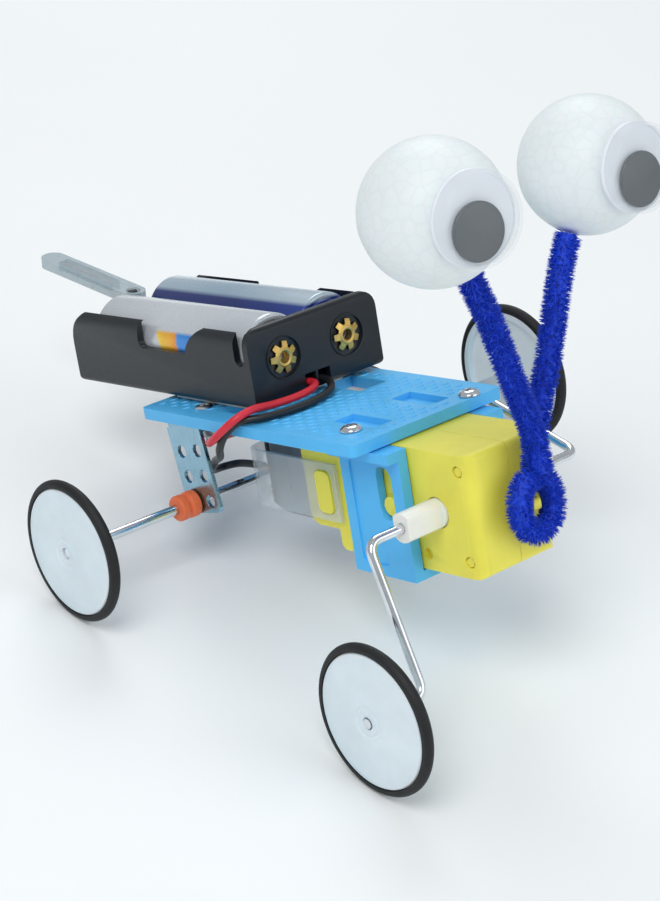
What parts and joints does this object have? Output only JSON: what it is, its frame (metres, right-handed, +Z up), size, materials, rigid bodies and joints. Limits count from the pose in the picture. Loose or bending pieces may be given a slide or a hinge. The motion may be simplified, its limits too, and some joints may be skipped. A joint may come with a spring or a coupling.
{
  "type": "crawling robot kit car",
  "caption": "Kit car: plastic deck with a geared motor and an open battery box, rear wheels on a plain axle, front wheels on bent wire cranks, and googly eyes on a chenille stem.",
  "frame": {"origin": "middle of the car's footprint box on the ground it stands on, at z = 0", "axes": "+X forward, towards the eyes; +Y the car's left, the far crank's side; +Z up. The body is pitched nose up by 18 degrees"},
  "size_m": [0.1606, 0.087, 0.1088],
  "materials": {
    "deck": "satin",
    "gearbox": "satin",
    "dark_plastic": "satin",
    "bracket_steel": "satin",
    "bright_steel": "polished",
    "motor_can": "satin",
    "bush": "satin",
    "wheel_disc": "satin",
    "tyre": "matte",
    "clear_plastic": "polished",
    "nylon": "satin",
    "brass": "satin",
    "foam_tape": "matte",
    "cell_silver": "satin",
    "cell_navy": "satin",
    "chenille": "matte",
    "foam_ball": "matte",
    "eye_white": "satin",
    "pupil": "satin",
    "red_lead": "satin",
    "black_lead": "satin"
  },
  "bodies": {
    "chassis": {"deck_plate": "deck", "motor_bracket": "deck", "bracket_screw_near": "bright_steel", "bracket_screw_far": "bright_steel", "axle_bracket_near": "bracket_steel", "axle_bracket_far": "bracket_steel", "axle_bracket_screw_near": "bright_steel", "axle_bracket_screw_far": "bright_steel", "axle_bracket_nut_near": "bright_steel", "axle_bracket_nut_far": "bright_steel", "foam_tape_pad": "foam_tape", "gearbox_shell_near": "gearbox", "gearbox_shell_far": "gearbox", "case_peg_upper": "gearbox", "case_peg_lower": "gearbox", "idler_pin": "bright_steel", "crown_pin": "bright_steel", "motor_can": "motor_can", "motor_end_cap": "dark_plastic", "motor_strap": "clear_plastic", "motor_terminal_black": "brass", "motor_terminal_red": "brass", "battery_box": "dark_plastic", "battery_near": "cell_silver", "battery_far": "cell_navy", "bridge_plate": "bright_steel", "contact_spring_rear": "bright_steel", "contact_spring_front": "bright_steel", "contact_eyelet_near": "brass", "contact_eyelet_far": "brass", "chenille_stem": "chenille", "eye_ball_near": "foam_ball", "eye_ball_far": "foam_ball", "eye_back_near": "eye_white", "eye_back_far": "eye_white", "eye_dome_near": "clear_plastic", "eye_dome_far": "clear_plastic", "red_lead": "red_lead", "black_lead": "black_lead"},
    "drive": {"output_shaft": "nylon", "crank_near": "bright_steel", "crank_far": "bright_steel", "wheel_disc_front_near": "wheel_disc", "wheel_disc_front_far": "wheel_disc", "tyre_front_near": "tyre", "tyre_front_far": "tyre"},
    "rear_wheels": {"rear_axle": "bright_steel", "axle_bush_near": "bush", "axle_bush_far": "bush", "wheel_disc_rear_near": "wheel_disc", "wheel_disc_rear_far": "wheel_disc", "tyre_rear_near": "tyre", "tyre_rear_far": "tyre"},
    "idler": {"idler_gear": "nylon"},
    "crown": {"crown_gear": "nylon"},
    "motor_rotor": {"motor_pinion": "brass"},
    "lever": {"rear_lever": "clear_plastic", "lever_blade": "bright_steel"},
    "pupil_near": {"eye_pupil_near": "pupil"},
    "pupil_far": {"eye_pupil_far": "pupil"}
  },
  "joints": [
    {"name": "drive_spin", "type": "hinge", "parent": "chassis", "child": "drive", "pos_m": [0.05033, 0.00465, 0.03569], "axis": [0, 1, 0], "continuous": true},
    {"name": "rear_axle_spin", "type": "hinge", "parent": "chassis", "child": "rear_wheels", "pos_m": [-0.00488, 0.00465, 0.01368], "axis": [0, 1, 0], "continuous": true},
    {"name": "idler_spin", "type": "hinge", "parent": "chassis", "child": "idler", "pos_m": [0.04176, 0.00465, 0.03291], "axis": [0, 1, 0], "continuous": true},
    {"name": "crown_spin", "type": "hinge", "parent": "chassis", "child": "crown", "pos_m": [0.03463, 0.00465, 0.0306], "axis": [0, 1, 0], "continuous": true},
    {"name": "motor_spin", "type": "hinge", "parent": "chassis", "child": "motor_rotor", "pos_m": [0.0293, 0.00465, 0.02887], "axis": [0.9512, 0, 0.3085], "continuous": true},
    {"name": "lever_swing", "type": "hinge", "parent": "chassis", "child": "lever", "pos_m": [-0.04979, 0.00605, 0.03254], "axis": [-0.3085, 0, 0.9512], "range_deg": [-25, 25]},
    {"name": "pupil_near_roll", "type": "hinge", "parent": "chassis", "child": "pupil_near", "pos_m": [0.06582, -0.01816, 0.10064], "axis": [0.9382, -0.165, 0.3043], "continuous": true},
    {"name": "pupil_far_roll", "type": "hinge", "parent": "chassis", "child": "pupil_far", "pos_m": [0.05929, 0.02664, 0.09568], "axis": [0.9504, -0.0419, 0.3083], "continuous": true}
  ],
  "couplings": [
    {"joint": "idler_spin", "follows": "drive_spin", "ratio": -3.5},
    {"joint": "crown_spin", "follows": "drive_spin", "ratio": 9.625},
    {"joint": "motor_spin", "follows": "drive_spin", "ratio": -24.062}
  ]
}
